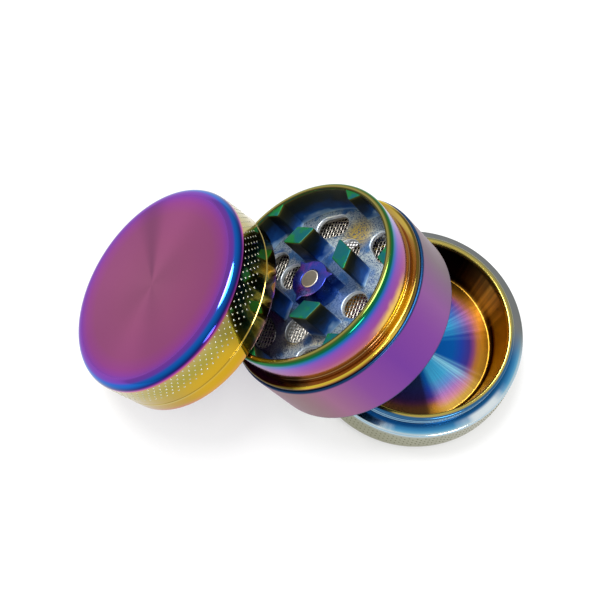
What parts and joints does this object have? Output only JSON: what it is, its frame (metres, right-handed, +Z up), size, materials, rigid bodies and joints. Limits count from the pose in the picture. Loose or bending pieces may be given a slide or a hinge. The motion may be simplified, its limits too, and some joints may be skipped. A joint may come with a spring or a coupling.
{
  "type": "herb grinder",
  "caption": "Small round metal hand-twist grinder, taken apart: toothed lid, tooth chamber over a wire screen, and a threaded catch bowl.",
  "frame": {"origin": "centre of the catch bowl's base, on the table", "axes": "+Z up along the catch bowl's axis; the taken-off pieces lean away along -X"},
  "size_m": [0.083, 0.0536, 0.0382],
  "materials": {
    "bowl_plating": "polished die-cast zinc with rainbow heat-tint plating",
    "sieve_plating": "satin die-cast zinc with violet plating",
    "chamber_plating": "polished neck, as-cast inside, rainbow plating",
    "lid_plating": "spun top and dimpled side, rainbow plating",
    "screen_steel": "woven stainless wire",
    "magnet_nickel": "nickel-plated disc magnet",
    "nylon": "moulded nylon"
  },
  "bodies": {
    "bowl": {"catch_bowl": "bowl_plating"},
    "sieve": {"sieve_body": "sieve_plating", "mesh_screen": "screen_steel", "screen_ring": "screen_steel"},
    "chamber": {"tooth_chamber": "chamber_plating", "chamber_magnet": "magnet_nickel"},
    "glide": {"glide_ring": "nylon"},
    "lid": {"lid": "lid_plating", "lid_magnet": "magnet_nickel"}
  },
  "joints": [
    {"name": "sieve_lift", "type": "slide", "parent": "bowl", "child": "sieve", "axis": [-0.6107, 0, 0.7919], "range_m": [0, 0.03]},
    {"name": "chamber_unscrew", "type": "hinge", "parent": "sieve", "child": "chamber", "pos_m": [-0.01146, -0.00302, 0.01221], "axis": [-0.6107, 0, 0.7919], "range_deg": [0, 360]},
    {"name": "lid_lift", "type": "slide", "parent": "sieve", "child": "glide", "axis": [-0.6628, -0.0522, 0.7469], "range_m": [0, 0.03]},
    {"name": "lid_turn", "type": "hinge", "parent": "glide", "child": "lid", "pos_m": [-0.04051, -0.01213, 0.0133], "axis": [-0.6628, -0.0522, 0.7469], "continuous": true}
  ]
}
